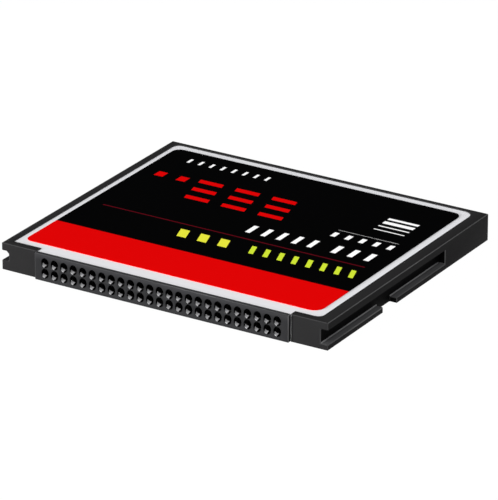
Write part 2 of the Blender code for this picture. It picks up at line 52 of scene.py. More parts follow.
# Shaders: a socket with plain arithmetic

class Sock:
    def __init__(self, tree, out=None):
        self.tree = tree
        self.out = out

    def add(self, kind, settings=None, values=None, out=0):
        node = self.tree.nodes.new(kind)
        for name, value in (settings or {}).items():
            setattr(node, name, value)
        for name, value in (values or {}).items():
            if isinstance(value, Sock):
                self.tree.links.new(value.out, node.inputs[name])
            else:
                node.inputs[name].default_value = value
        return Sock(self.tree, node.outputs[out])

    def sibling(self, output):      # another output of the same node
        return Sock(self.tree, self.out.node.outputs[output])

    def maths(self, operation, first, second):
        return self.add("ShaderNodeMath", {"operation": operation}, {0: first, 1: second})

    def pick(self, off, on):      # one of two colours, by this value
        off = (*off, 1.0) if isinstance(off, tuple) else off
        on = (*on, 1.0) if isinstance(on, tuple) else on
        return self.add("ShaderNodeMix", {"data_type": "RGBA"}, {"Factor": self, 6: off, 7: on}, 2)

    def __add__(self, other):
        return self.maths("ADD", self, other)

    def __radd__(self, other):
        return self.maths("ADD", other, self)

    def __sub__(self, other):
        return self.maths("SUBTRACT", self, other)

    def __rsub__(self, other):
        return self.maths("SUBTRACT", other, self)

    def __mul__(self, other):
        return self.maths("MULTIPLY", self, other)

    def __rmul__(self, other):
        return self.maths("MULTIPLY", other, self)

    def __mod__(self, other):
        return self.maths("FLOORED_MODULO", self, other)

    def __rmod__(self, other):
        return self.maths("FLOORED_MODULO", other, self)

    def __lt__(self, other):
        return self.maths("LESS_THAN", self, other)

    def __gt__(self, other):
        return self.maths("GREATER_THAN", self, other)


def newFinish(name, colour, constants):
    made = bpy.data.materials.new(name)
    made.use_nodes = True
    shader = made.node_tree.nodes["Principled BSDF"]
    shader.inputs["Base Color"].default_value = (*colour, 1.0)
    for socket, value in constants.items():
        shader.inputs[socket].default_value = value
    made.diffuse_color = (*colour, 1.0)
    return made, shader, Sock(made.node_tree)


def feed(shader, socket, value):
    value.tree.links.new(value.out, shader.inputs[socket])


def cardPlace(start):      # a point of the card, in millimetres
    where = start.add("ShaderNodeTexCoord", out="Object")
    return start.add("ShaderNodeVectorMath", {"operation": "SCALE"}, {0: where, "Scale": 1 / mm})


def grain(start, place, perMillimetre, detail=2.0):
    values = {"Vector": place, "Scale": perMillimetre, "Detail": detail}
    return start.add("ShaderNodeTexNoise", values=values)


def bumped(shader, start, height, depth, strength):      # the depth is in millimetres
    values = {"Height": height, "Distance": depth * mm, "Strength": strength}
    feed(shader, "Normal", start.add("ShaderNodeBump", values=values))


def shaded(colour, level):
    return tuple(level * part for part in colour)


def tinted(pattern, colour, darker, paintedTopLight=0.0):      # a colour that goes down and up with a pattern
    return pattern.pick(shaded(colour, 1 - darker), shaded(colour, 1 + paintedTopLight))


def swing(pattern, width):      # a pattern that swings about 0 rather than about 0.5
    return (pattern - 0.5) * width


# Moulded plastics

plastics = {
    # of each: colour, specular level, roughness, and depth of the mould's grain in millimetres
    "looks": {
        "framePlastic": ((0.0200, 0.0197, 0.0202), 0.01, 0.44, 0.006),
        # painted highlight: the chamfers are coloured lighter so that they show as bright edge lines
        "paintedEdgeHighlight": ((0.060, 0.060, 0.061), 0.30, 0.34, 0.002),
        # painted highlight on the front chamfers, dimmer than on the others
        "paintedFrontEdgeHighlight": ((0.036, 0.036, 0.037), 0.06, 0.40, 0.002),
        # painted highlight line at the foot of a groove's wall
        "paintedLipHighlight": ((0.150, 0.150, 0.154), 0.30, 0.34, 0.002),
        # painted light: the right lip's upper side is coloured lighter so that it reads as lit
        "paintedLipTopLight": ((0.050, 0.050, 0.052), 0.10, 0.36, 0.003),
        # painted shade: the grooves' inner faces are coloured near black
        "paintedGrooveShade": ((0.0036, 0.0036, 0.0038), 0.02, 0.60, 0.006),
        "connectorPlastic": ((0.0160, 0.0160, 0.0172), 0.08, 0.50, 0.004),
        # painted highlight on the connector's chamfers
        "paintedConnectorEdgeHighlight": ((0.036, 0.036, 0.038), 0.30, 0.38, 0.002),
        # painted highlight, pale, on the flange's end walls and the frame's strip beside them
        "paintedFlangeEndHighlight": ((0.500, 0.500, 0.505), 0.20, 0.40, 0.002),
        # painted highlight on the flange's right end chamfer
        "paintedFlangeChamferHighlight": ((0.155, 0.155, 0.158), 0.30, 0.40, 0.002),
        # painted shade: the sockets' walls are coloured near black
        "paintedSocketShade": ((0.0012, 0.0012, 0.0013), 0.02, 0.60, 0.004),
    },
    "paintedTopLight": {"connectorPlastic": (2.45, 3.15, 1.8)},      # painted light on the upper band: from which height to which, and how much paler
    # the mould's grain and the slow changes along the moulding, both as so many to the millimetre
    "spark": {"scale": 7.0, "gloss": 0.16, "bump": 0.5},
    "flow": {"scale": 0.22, "gloss": 0.08, "tint": 0.15},
}


# painted light: the colour turns paler towards the top
def paintedLightAbove(start, place, shade, colour, low, high, level):
    height = start.add("ShaderNodeSeparateXYZ", values={0: place}, out=2)
    ends = {"Value": height, "From Min": low, "From Max": high}
    share = start.add("ShaderNodeMapRange", {"interpolation_type": "SMOOTHSTEP"}, ends)
    return share.pick(shade, shaded(colour, level))


def mouldedPlastic(name):
    colour, specular, roughness, grainDepth = plastics["looks"][name]
    sparks, flows = plastics["spark"], plastics["flow"]
    made, shader, start = newFinish(name, colour, {"Specular IOR Level": specular})
    place = cardPlace(start)
    spark = grain(start, place, sparks["scale"])
    flow = grain(start, place, flows["scale"])
    feed(shader, "Roughness", roughness + swing(spark, sparks["gloss"]) + swing(flow, flows["gloss"]))
    shade = tinted(flow, colour, flows["tint"], flows["tint"])
    if name in plastics["paintedTopLight"]:
        shade = paintedLightAbove(start, place, shade, colour, *plastics["paintedTopLight"][name])
    feed(shader, "Base Color", shade)
    bumped(shader, start, spark, grainDepth, sparks["bump"])
    return made


# Metals

metals = {
    # of each: colour, metallic and roughness
    "looks": {
        "coverSteel": ((0.92, 0.92, 0.95), 0.18, 0.45),
        # painted glint on the tongue's front
        "paintedGlintTongue": ((0.72, 0.72, 0.74), 0.25, 0.46),
        # painted shade: the contacts' metal is coloured near black so that the sockets stay dark
        "paintedShadeContact": ((0.0060, 0.0058, 0.0056), 0.6, 0.50),
        "crystalCan": ((0.62, 0.62, 0.60), 1.0, 0.30),
    },
    "streak": {      # the rolls' streaks, drawn out along X
        "scale": 22.0, "stretch": 0.02, "detail": 3.0,
        "gloss": 0.14, "tint": 0.05, "depth": 0.002, "bump": 0.3,
    },
    "cloud": {"scale": 0.3, "gloss": 0.06},
    "plating": {"scale": 9.0, "gloss": 0.16, "tint": 0.15},
}


def rolledSheet(name):
    colour, metallic, roughness = metals["looks"][name]
    streaks, clouds = metals["streak"], metals["cloud"]
    made, shader, start = newFinish(name, colour, {"Metallic": metallic})
    place = cardPlace(start)
    stretch = (streaks["stretch"], 1.0, 1.0)
    drawn = start.add("ShaderNodeMapping", values={"Vector": place, "Scale": stretch})
    streak = grain(start, drawn, streaks["scale"], streaks["detail"])
    cloud = grain(start, place, clouds["scale"])
    feed(shader, "Roughness", roughness + swing(streak, streaks["gloss"]) + swing(cloud, clouds["gloss"]))
    feed(shader, "Base Color", tinted(streak, colour, streaks["tint"]))
    bumped(shader, start, streak, streaks["depth"], streaks["bump"])
    return made


def platedMetal(name):
    colour, metallic, roughness = metals["looks"][name]
    plating = metals["plating"]
    made, shader, start = newFinish(name, colour, {"Metallic": metallic})
    spots = grain(start, cardPlace(start), plating["scale"])
    feed(shader, "Roughness", roughness + swing(spots, plating["gloss"]))
    feed(shader, "Base Color", tinted(spots, colour, plating["tint"]))
    return made


# The label's print: plain blocks only

labelPrint = {
    "inks": {
        "black": (0.0002, 0.0002, 0.0003),
        "red": (0.700, 0.0003, 0.0006),
        "darkRed": (0.115, 0.002, 0.008),
        "white": (0.96, 0.96, 0.96),
        "lime": (0.60, 0.74, 0.035),
        "yellow": (0.76, 0.76, 0.045),
    },
    "redBand": 8.6,      # how far the band reaches back, in millimetres from the frame's front
    # ink, left and right on X, near and far edge from the frame's front, lean of the far edge to the left,
    # how many blocks share the width, and how much of each share is inked
    "rows": [
        ("darkRed", -17.7, 17.1, 15.17, 15.35, 0.0, 1, 1.0),
        ("lime", 3.9, 17.5, 11.90, 13.90, 0.65, 8, 0.34),
        ("yellow", -5.6, 1.0, 11.90, 13.90, 0.65, 3, 0.45),
        ("white", 11.6, 16.6, 16.90, 19.00, 0.0, 3, 0.32),
        ("white", 0.4, 9.1, 16.90, 19.00, 0.0, 5, 0.31),
        ("white", 9.2, 17.1, 20.95, 22.15, 0.0, 5, 0.34),
        ("white", 9.2, 17.1, 22.88, 22.92, 0.0, 1, 1.0),
        ("white", 12.4, 16.4, 25.23, 25.42, 0.0, 1, 1.0),
        ("white", 12.4, 16.4, 26.28, 26.52, 0.0, 1, 1.0),
        ("white", 12.4, 16.4, 27.20, 27.90, 0.0, 1, 1.0),
        ("white", 12.4, 16.4, 28.40, 28.90, 0.0, 1, 1.0),
        ("red", -10.9, 2.2, 21.85, 22.75, 0.20, 3, 0.64),
        ("red", -11.4, 1.7, 24.20, 25.10, 0.20, 3, 0.64),
        ("red", -11.9, 1.2, 26.55, 27.45, 0.20, 3, 0.64),
        ("red", -17.6, -13.4, 25.85, 27.15, 0.0, 2, 0.40),
        ("white", -16.4, -5.4, 31.10, 32.20, 0.0, 8, 0.24),
    ],
    "specular": 0.01,
    "roughness": 0.36,
    "cloud": {"scale": 1.2, "detail": 3.0, "gloss": 0.08},
    "wave": {"scale": 5.0, "depth": 0.0015, "bump": 0.3},      # of the film on its glue
}


def inkedBlocks(across, back, row):
    _, left, right, near, far, lean, count, fill = row
    along = across - left + (back - near) * (lean / (far - near))
    share = (right - left) / (count - 1 + fill)      # the last block ends on the right edge
    inWidth = (along > 0) * (along < right - left)
    inDepth = (back > near) * (back < far)
    return inWidth * ((along % share) < share * fill) * inDepth


def printedFilm(name):
    inks, clouds, waves = labelPrint["inks"], labelPrint["cloud"], labelPrint["wave"]
    made, shader, start = newFinish(name, inks["black"], {"Specular IOR Level": labelPrint["specular"]})
    place = cardPlace(start)
    across = start.add("ShaderNodeSeparateXYZ", values={0: place})
    back = across.sibling(1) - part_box("frame")[0].y / mm
    ink = (back < labelPrint["redBand"]).pick(inks["black"], inks["red"])
    for row in labelPrint["rows"]:
        ink = inkedBlocks(across, back, row).pick(ink, inks[row[0]])
    feed(shader, "Base Color", ink)
    cloud = grain(start, place, clouds["scale"], clouds["detail"])
    feed(shader, "Roughness", labelPrint["roughness"] + swing(cloud, clouds["gloss"]))
    bumped(shader, start, grain(start, place, waves["scale"]), waves["depth"], waves["bump"])
    return made


# What lies inside

inside = {
    "mask": {      # with a weave and clouds, so many to the millimetre
        "colour": (0.010, 0.085, 0.034), "roughness": 0.40,
        "weave": 2.4, "tint": 0.15, "cloud": 1.0, "gloss": 0.12,
    },
    "resin": {
        "colour": (0.021, 0.021, 0.023), "specular": 0.4, "roughness": 0.55,
        "tint": 0.2, "gloss": 0.2, "depth": 0.006,
    },
}


def boardLaminate(name):      # green mask over a faint weave
    look = inside["mask"]
    made, shader, start = newFinish(name, look["colour"], {})
    place = cardPlace(start)
    weave = start.add("ShaderNodeTexChecker", values={"Vector": place, "Scale": look["weave"]}, out="Fac")
    feed(shader, "Base Color", tinted(weave, look["colour"], 0.0, look["tint"]))
    feed(shader, "Roughness", look["roughness"] + swing(grain(start, place, look["cloud"]), look["gloss"]))
    return made


def packageResin(name):
    look, sparks = inside["resin"], plastics["spark"]
    made, shader, start = newFinish(name, look["colour"], {"Specular IOR Level": look["specular"]})
    spark = grain(start, cardPlace(start), sparks["scale"])
    feed(shader, "Roughness", look["roughness"] + swing(spark, look["gloss"]))
    feed(shader, "Base Color", tinted(spark, look["colour"], look["tint"], look["tint"]))
    bumped(shader, start, spark, look["depth"], sparks["bump"])
    return made


finishes = {name: mouldedPlastic(name) for name in plastics["looks"]}
finishes["coverSteel"] = rolledSheet("coverSteel")
for name in ("paintedGlintTongue", "paintedShadeContact", "crystalCan"):
    finishes[name] = platedMetal(name)
finishes["printedFilm"] = printedFilm("printedFilm")
finishes["boardLaminate"] = boardLaminate("boardLaminate")
finishes["packageResin"] = packageResin("packageResin")
print("finishes made:", len(finishes))

slotFinishes = {      # by the record's material slots
    "frame_plastic": "framePlastic",
    "connector_plastic": "connectorPlastic",
    "cover_steel": "coverSteel",
    "contact_metal": "paintedShadeContact",
    "label_film": "printedFilm",
    "board_laminate": "boardLaminate",
    "package_resin": "packageResin",
    "crystal_can": "crystalCan",
}

for part in frame["record"]["subparts"]:
    materials = frame["nodes"][part["node"]].data.materials
    materials.clear()
    materials.append(finishes[slotFinishes[part["material_slot"]]])
print("card nodes dressed:", len(frame["nodes"]))


# Mesh helpers

sameVertex = 0.0001 * mm      # vertices nearer than this are one
samePlace = 0.002 * mm      # within which a vertex lies at one of the solid's own sizes
slack = 0.01 * mm
flatAngle = math.radians(0.5)      # faces that bend less than this are one
# how much of a face's normal lies along an axis
slant = 0.98      # less on every axis: a chamfer or a rounding
square = 0.9      # more: it looks along that axis
leaning = 0.3      # more: it leans that way


def addObject(name, data):
    made = bpy.data.objects.new(name, data)
    bpy.context.scene.collection.objects.link(made)
    return made


def meshFrom(name, bm):
    bmesh.ops.recalc_face_normals(bm, faces=bm.faces)
    mesh = bpy.data.meshes.new(name)
    bm.to_mesh(mesh)
    bm.free()
    return mesh


def dress(mesh, looks):
    for look in looks:
        mesh.materials.append(finishes[look])


def smooth(mesh, degrees):      # but for the edges that bend more
    mesh.shade_smooth()
    mesh.set_sharp_from_angle(angle=math.radians(degrees))


def bridge(bm, near, far):      # quads between two rings of vertices
    for i in range(len(near)):
        j = (i + 1) % len(near)
        bm.faces.new((near[i], near[j], far[j], far[i]))


def cleanCopy(node):      # a node's mesh with its flat faces whole again
    bm = bmesh.new()
    bm.from_mesh(frame["nodes"][node].data)
    bmesh.ops.remove_doubles(bm, verts=bm.verts, dist=sameVertex)
    bmesh.ops.dissolve_limit(bm, angle_limit=flatAngle, verts=bm.verts, edges=bm.edges)
    return bm


def cutAcross(bm, x):      # an edge all round, where the plane at x meets the mesh
    geom = bm.verts[:] + bm.edges[:] + bm.faces[:]
    bmesh.ops.bisect_plane(bm, geom=geom, plane_co=(x, 0, 0), plane_no=(1, 0, 0), dist=sameVertex)


def slanted(normal):
    return max(abs(part) for part in normal) < slant


def at(value, place):
    return abs(value - place) < samePlace


def stands(piece, node):
    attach(piece, "root")
    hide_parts(node)


# The frame, with rounded edges; its chamfers and the right lip's upper side are painted lighter as
# highlights and light, its grooves darker as shade

frameShape = {
    # the solid's own sizes in millimetres, by which its vertices are found
    "chamfer": 0.10,
    "bayHalf": 16.65,      # from the middle to the blocks beside the connector
    "frontPost": 0.5,      # how far back the frame's front faces can lie
    "wall": 20.40,      # from the middle to the grooves' walls
    "rightLip": 0.64,      # heights of the grooves' lips and ceilings
    "leftLip": 1.04,
    "ceiling": 2.24,
    "grooveFrom": 20.2,      # the box that holds a groove's vertices: from this far out
    "grooveBottom": 0.5,
    "grooveTop": 2.6,
    "lipGap": (-5.9, -2.6),      # on Y, round the lips' gap, where the wall goes down to the underside
    "rim": 0.3,      # from the top, underside and back, within which no groove lies
    "cornerReach": 0.15,      # outwards from the wall
    "lowCorner": 0.75,      # the height up to which an upright corner is kept out of the painted shade
    # how the photo's frame differs
    "wallOut": 0.08,      # by which the grooves' walls come out
    "rises": {"rightLip": 0.07, "leftLip": 0.15, "ceiling": 0.12},
    "leftCorner": 0.20,      # by which the left groove's upper inner corner is fuller
    "chamferShift": 0.04,      # by which the outer chamfers are narrower
    "bayShift": 0.08,      # and those beside the connector
    "paintedLightStrip": 0.12,      # of the front beside the connector's right end, which is painted as a highlight
    "round": 0.035,      # at both sides of each chamfer
    "roundSteps": 2,
    "sharp": 30.0,      # degrees between faces from which an edge is rounded
    "smooth": 35.0,      # and from which an edge is seen
}
frameLooks = ("framePlastic", "paintedEdgeHighlight", "paintedLipTopLight", "paintedGrooveShade", "paintedFrontEdgeHighlight", "paintedLipHighlight", "paintedFlangeEndHighlight")


def onFace(value, place):      # at a face of the solid, or where the chamfer to the next one ends
    chamfer = frameShape["chamfer"] * mm
    return any(at(value, place + step) for step in (-chamfer, 0.0, chamfer))


def settleGrooves(bm):
    chamfer = frameShape["chamfer"] * mm
    wall = frameShape["wall"] * mm
    ceiling = frameShape["ceiling"] * mm
    gapStart, gapEnd = frameShape["lipGap"]
    for vert in bm.verts:
        x, y, z = abs(vert.co.x), vert.co.y, vert.co.z
        if x < frameShape["grooveFrom"] * mm or z > frameShape["grooveTop"] * mm:
            continue
        if z < frameShape["grooveBottom"] * mm and not gapStart * mm < y < gapEnd * mm:
            continue
        fuller = frameShape["leftCorner"] * mm if vert.co.x < 0 else 0.0
        if at(x, wall) and at(z, ceiling - chamfer):
            vert.co.z -= fuller
        elif at(x, wall + chamfer) and at(z, ceiling):
            vert.co.x -= fuller
        if onFace(x, wall):
            vert.co.x += math.copysign(frameShape["wallOut"] * mm, vert.co.x)
        for face, rise in frameShape["rises"].items():
            if onFace(z, frameShape[face] * mm):
                vert.co.z += rise * mm


def narrowChamfers(bm, low, high):
    chamfer = frameShape["chamfer"] * mm
    narrower = frameShape["chamferShift"] * mm
    for vert in bm.verts:
        side = math.copysign(1.0, vert.co.x)
        outside = high.x - abs(vert.co.x)
        inside = abs(vert.co.x) - frameShape["bayHalf"] * mm
        shift = frameShape["bayShift"] * mm if inside < chamfer + slack else narrower
        if at(outside, chamfer):
            vert.co.x += side * shift
        elif at(inside, chamfer):
            vert.co.x -= side * shift
        if at(vert.co.y - low.y, chamfer) and inside > -slack:
            vert.co.y -= shift
        elif at(high.y - vert.co.y, chamfer):
            vert.co.y += shift
        if at(vert.co.z - low.z, chamfer):
            vert.co.z -= narrower
        elif at(high.z - vert.co.z, chamfer):
            vert.co.z += narrower


def chamferLook(middle, normal, atSide, inCorner, atFront, low):      # the finish of a slanted face
    if inCorner and normal.z > leaning:
        return "paintedLipHighlight"      # a painted highlight line at the foot of a groove's wall
    # chamfers in a groove take the painted shade, but for the low upright ones
    if atSide and normal.z < -leaning or inCorner and not atFront:
        upright = abs(normal.z) < leaning and middle.z < low.z + frameShape["lowCorner"] * mm
        return "framePlastic" if upright else "paintedGrooveShade"
    # painted highlights on the upward chamfers, dimmer on the front ones
    if normal.z > -leaning and not (atSide and middle.x < 0):
        return "paintedFrontEdgeHighlight" if atFront and normal.y < -leaning else "paintedEdgeHighlight"
    return "framePlastic"


def frameLook(face, low, high):      # the finish of any face
    middle, normal = face.calc_center_median(), face.normal
    wall = (frameShape["wall"] + frameShape["wallOut"]) * mm
    rim = frameShape["rim"] * mm
    atFront = middle.y < low.y + frameShape["frontPost"] * mm
    atSide = abs(middle.x) > wall - slack and low.z + rim < middle.z < high.z - rim
    if slanted(normal):
        inCorner = atSide and abs(middle.x) < wall + frameShape["cornerReach"] * mm
        return chamferLook(middle, normal, atSide, inCorner, atFront, low)
    intoBlock = (middle.x - frameShape["bayHalf"] * mm) / (frameShape["paintedLightStrip"] * mm)
    # painted highlight on the strip beside the connector's right end
    if 0 < intoBlock < 1 and atFront and normal.y < -square:
        return "paintedFlangeEndHighlight"
    if atSide and normal.z > square:      # a lip's upper side: painted light on the right one
        return "paintedLipTopLight" if middle.x > 0 else "framePlastic"
    # painted shade on the grooves' inner faces
    inGroove = abs(middle.x) < wall + slack or normal.z < -square
    acrossGroove = abs(normal.y) > square and not atFront and middle.y < high.y - rim
    return "paintedGrooveShade" if atSide and (inGroove or acrossGroove) else "framePlastic"


def buildFrame():
    low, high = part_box("frame")
    bm = cleanCopy("frame")
    settleGrooves(bm)
    narrowChamfers(bm, low, high)
    cutAcross(bm, frameShape["bayHalf"] * mm + frameShape["paintedLightStrip"] * mm)
    sharp = math.radians(frameShape["sharp"])
    edges = [edge for edge in bm.edges if edge.is_manifold and edge.calc_face_angle() > sharp]
    bmesh.ops.bevel(
        bm, geom=edges, offset=frameShape["round"] * mm, segments=frameShape["roundSteps"], profile=0.5,
        affect="EDGES", clamp_overlap=True,
    )
    bm.normal_update()
    for face in bm.faces:
        face.material_index = frameLooks.index(frameLook(face, low, high))
    mesh = meshFrom("roundedFrame", bm)
    dress(mesh, frameLooks)
    smooth(mesh, frameShape["smooth"])
    stands(addObject("roundedFrame", mesh), "frame")


buildFrame()
print("frame built")


# The connector's housing: sockets with an oval lead-in that runs into a round bore

housing = {
    "mouthAcross": 0.488,      # half the lead-in's width
    "mouthUp": 0.592,      # and half its height
    "mouthEdge": 0.020,
    "leadIn": 0.24,      # its straight depth
    "leadInEnd": 0.46,
    "bore": 0.458,      # the round bore's radius
    "depth": 3.61,
    "paintedShadeDepth": 3.71,      # up to which its walls are painted dark as shade, with those of the tail's slot behind it
    "sides": 32,
    "edgeSteps": 3,
    "cutterAhead": 0.5,      # how far before the face the cutter begins
    # the solid's own sizes
    "flange": 0.6,      # no vertex of its flange lies further back
    "chamfer": 0.08,
    # how the photo's flange differs, and where its edges carry painted highlights
    "endShift": 0.045,      # by which the flange's ends are fuller than the solid's
    "endChamfer": 0.05,
    "endStrip": 0.04,      # of the face, at its left end, painted as a highlight
    "edgeDepth": 0.1,      # behind the face, within which its chamfers lie
    "edgeArea": 0.06,      # square millimetres, which tells the long chamfers from the sockets' mouths
    "smooth": 32.0,      # degrees between faces from which an edge is seen
}
housingLooks = ("connectorPlastic", "paintedConnectorEdgeHighlight", "paintedSocketShade", "paintedFlangeEndHighlight", "paintedFlangeChamferHighlight")


def socketPlaces():      # of each socket: the contact's node, x, height, and whether it is in the upper row
    low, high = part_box("frame")
    nodes = sorted(node for node in frame["nodes"] if node.startswith("contact_"))
    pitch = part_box(nodes[1])[0].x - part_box(nodes[0])[0].x
    places = []
    for i, node in enumerate(nodes):
        left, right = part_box(node)
        upper = i < len(nodes) // 2
        height = (low.z + high.z) / 2 + (pitch / 2 if upper else -pitch / 2)
        places.append((node, (left.x + right.x) / 2, height, upper))
    return places


sockets = socketPlaces()


def cutterProfile():      # half the width, half the height and the depth of each ring
    across, up, edge = housing["mouthAcross"], housing["mouthUp"], housing["mouthEdge"]
    profile = [(across + edge, up + edge, -housing["cutterAhead"])]
    for i in range(housing["edgeSteps"] + 1):      # a small quarter round at the mouth
        angle = i / housing["edgeSteps"] * math.pi / 2
        out = edge * (1 - math.sin(angle))
        profile.append((across + out, up + out, edge * (1 - math.cos(angle))))
    profile.append((across, up, housing["leadIn"]))
    profile.append((housing["bore"], housing["bore"], housing["leadInEnd"]))
    profile.append((housing["bore"], housing["bore"], housing["depth"]))
    return profile


def socketCutter(front):
    turns = [i * 2 * math.pi / housing["sides"] for i in range(housing["sides"])]
    bm = bmesh.new()
    for _, x, z, _ in sockets:
        rings = []
        for across, up, depth in cutterProfile():
            circle = [(x + across * mm * math.sin(turn), z + up * mm * math.cos(turn)) for turn in turns]
            rings.append([bm.verts.new((a, front + depth * mm, b)) for a, b in circle])
        bm.faces.new(rings[0])
        bm.faces.new(rings[-1])
        for near, far in zip(rings, rings[1:]):
            bridge(bm, near, far)
    return addObject("socketCutter", meshFrom("socketCutter", bm))


def boreSockets(body, front):
    cutter = socketCutter(front)
    bore = body.modifiers.new("sockets", "BOOLEAN")
    bore.object = cutter
    bore.solver = "EXACT"
    bored = body.evaluated_get(bpy.context.evaluated_depsgraph_get())
    mesh = bpy.data.meshes.new_from_object(bored)
    body.modifiers.clear()
    bpy.data.objects.remove(cutter)
    body.data = mesh


def fillFlange(bm, front):      # its ends come up to the frame's, with a finer chamfer
    chamfer = housing["chamfer"] * mm
    endChamfer = housing["endChamfer"] * mm
    half = max(vert.co.x for vert in bm.verts if vert.co.y < front + slack) + chamfer
    shift = housing["endShift"] * mm
    for vert in bm.verts:
        if vert.co.y > front + housing["flange"] * mm:
            continue
        side = math.copysign(1.0, vert.co.x)
        if at(abs(vert.co.x), half):
            vert.co.x += side * shift
        elif at(abs(vert.co.x), half - chamfer):
            vert.co.x += side * (shift + chamfer - endChamfer)
    right = half + shift - endChamfer
    left = housing["endStrip"] * mm - right
    cutAcross(bm, left)
    return left, right


def inSocket(middle, front):      # on a socket's walls
    across = (housing["mouthAcross"] + housing["mouthEdge"]) * mm + slack
    up = (housing["mouthUp"] + housing["mouthEdge"]) * mm + slack
    near = (abs(middle.x - x) < across and abs(middle.z - z) < up for _, x, z, _ in sockets)
    return middle.y < front + housing["paintedShadeDepth"] * mm and any(near)


def housingLook(face, front, left, right):
    middle, normal = face.center, face.normal
    atEnd = not left < middle.x < right and middle.y < front + housing["flange"] * mm
    # painted highlight on the flange's end walls
    if atEnd and abs(normal.x) > square:
        return "paintedFlangeEndHighlight"
    # painted highlight on the right end's chamfer
    if atEnd and middle.x > 0:
        return "paintedFlangeChamferHighlight"
    large = face.area > housing["edgeArea"] * mm * mm
    onEdge = middle.y < front + housing["edgeDepth"] * mm and slanted(normal) and abs(normal.y) < square
    # painted highlights on the long chamfers and the left end
    if atEnd or large and onEdge:
        return "paintedConnectorEdgeHighlight"
    # painted shade on the sockets' walls
    if normal.y > -square and inSocket(middle, front):
        return "paintedSocketShade"
    return "connectorPlastic"


def buildHousing():
    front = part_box("connector_housing")[0].y
    bm = cleanCopy("connector_housing")
    left, right = fillFlange(bm, front)
    body = addObject("socketHousing", meshFrom("socketHousing", bm))
    boreSockets(body, front)
    body.data.materials.clear()
    dress(body.data, housingLooks)
    for face in body.data.polygons:
        face.material_index = housingLooks.index(housingLook(face, front, left, right))
    smooth(body.data, housing["smooth"])
    stands(body, "connector_housing")


buildHousing()
print("connector housing built")


# The contacts: barrels rolled from strip, open along a seam, with a tongue that leads the pin in
# and a solder tail; the tongue's front is painted light as a glint, the barrel and the tongue's root dark
# as shade

contact = {
    "outer": 0.437,
    "wall": 0.07,
    "mouth": 0.46,      # where the barrel begins and ends, behind the housing's face
    "end": 3.18,
    "seam": 36.0,      # degrees left open
    "steps": 54,      # round the barrel
    "tailSteps": 6,      # as many of them, opposite the seam, run on as the tail
    "tail": ((5.05, 0.0), (5.35, 0.065), (6.80, 0.065)),      # behind the housing's face, and its lift
    # the tongue's stations: depth, turn in degrees and radius at its left and at its right edge
    "tongue": (
        ((0.015, 230.0, 0.520), (0.015, 259.0, 0.550)),
        ((0.285, 196.0, 0.455), (0.500, 257.0, 0.425)),      # up to here it carries the painted glint
        ((0.600, 200.0, 0.410), (0.600, 257.0, 0.410)),
    ),
    "tongueSteps": (8, 8),      # along each stretch, and across
    "tongueWall": 0.03,
    "smooth": 40.0,      # degrees between faces from which an edge is seen
}


def around(radius, depth, turn):      # a place round a socket's axis, in metres
    return Vector((radius * math.cos(turn), depth, radius * math.sin(turn))) * mm


def stripFaces(bm, start, end):      # the strip's outer and inner face between two rows of vertex pairs
    for first, second, third, fourth in zip(start, start[1:], end[1:], end):
        for side in (0, 1):
            bm.faces.new((first[side], second[side], third[side], fourth[side]))


def stripEdge(bm, first, second):      # a face across the strip's thickness
    bm.faces.new((first[0], second[0], second[1], first[1]))


def addBarrel(bm, upper):
    seam = math.radians(contact["seam"])
    steps = contact["steps"]
    middle = math.pi / 2 if upper else -math.pi / 2      # where the seam is
    turns = [middle + seam / 2 + i * (2 * math.pi - seam) / steps for i in range(steps + 1)]
    radii = (contact["outer"], contact["outer"] - contact["wall"])
    near, far = (
        [[bm.verts.new(around(radius, depth, turn)) for radius in radii] for turn in turns]
        for depth in (contact["mouth"], contact["end"])
    )
    stripFaces(bm, near, far)
    stripEdge(bm, near[0], far[0])
    stripEdge(bm, near[-1], far[-1])
    first = (steps - contact["tailSteps"]) // 2
    last = first + contact["tailSteps"]
    for i in range(steps):
        stripEdge(bm, near[i], near[i + 1])
        if not first <= i < last:
            stripEdge(bm, far[i], far[i + 1])
    addTail(bm, far[first:last + 1], upper)


def addTail(bm, root, upper):
    section = root
    for depth, lift in contact["tail"]:
        rise = (lift if upper else -lift) * mm
        places = [[(vert.co.x, depth * mm, vert.co.z + rise) for vert in pair] for pair in root]
        following = [[bm.verts.new(place) for place in pair] for pair in places]
        stripFaces(bm, section, following)
        stripEdge(bm, section[0], following[0])
        stripEdge(bm, section[-1], following[-1])
        section = following
    for first, second in zip(section, section[1:]):
        stripEdge(bm, first, second)


def between(first, second, step, steps):
    return [a + (b - a) * step / steps for a, b in zip(first, second)]


def tongueRows(bm, thickness):      # rows of vertices across the tongue, from its tip to its root
    along, across = contact["tongueSteps"]
    stations = contact["tongue"]
    rows = []
    for start, end in zip(stations, stations[1:]):
        for i in range(1 if rows else 0, along + 1):
            left, right = (between(start[side], end[side], i, along) for side in (0, 1))
            row = []
            for k in range(across + 1):
                depth, turn, radius = between(left, right, k, across)
                row.append(bm.verts.new(around(radius + thickness, depth, math.radians(turn))))
            rows.append(row)
    return rows


def inPaintedGlint(middle):      # before the line where the tongue's painted glint ends and its painted shade, as dark as the barrel's, begins
    (leftDepth, leftTurn, _), (rightDepth, rightTurn, _) = contact["tongue"][1]
    turn = math.degrees(math.atan2(middle.z, middle.x)) % 360
    share = (turn - leftTurn) / (rightTurn - leftTurn)
    return middle.y < (leftDepth + (rightDepth - leftDepth) * share) * mm


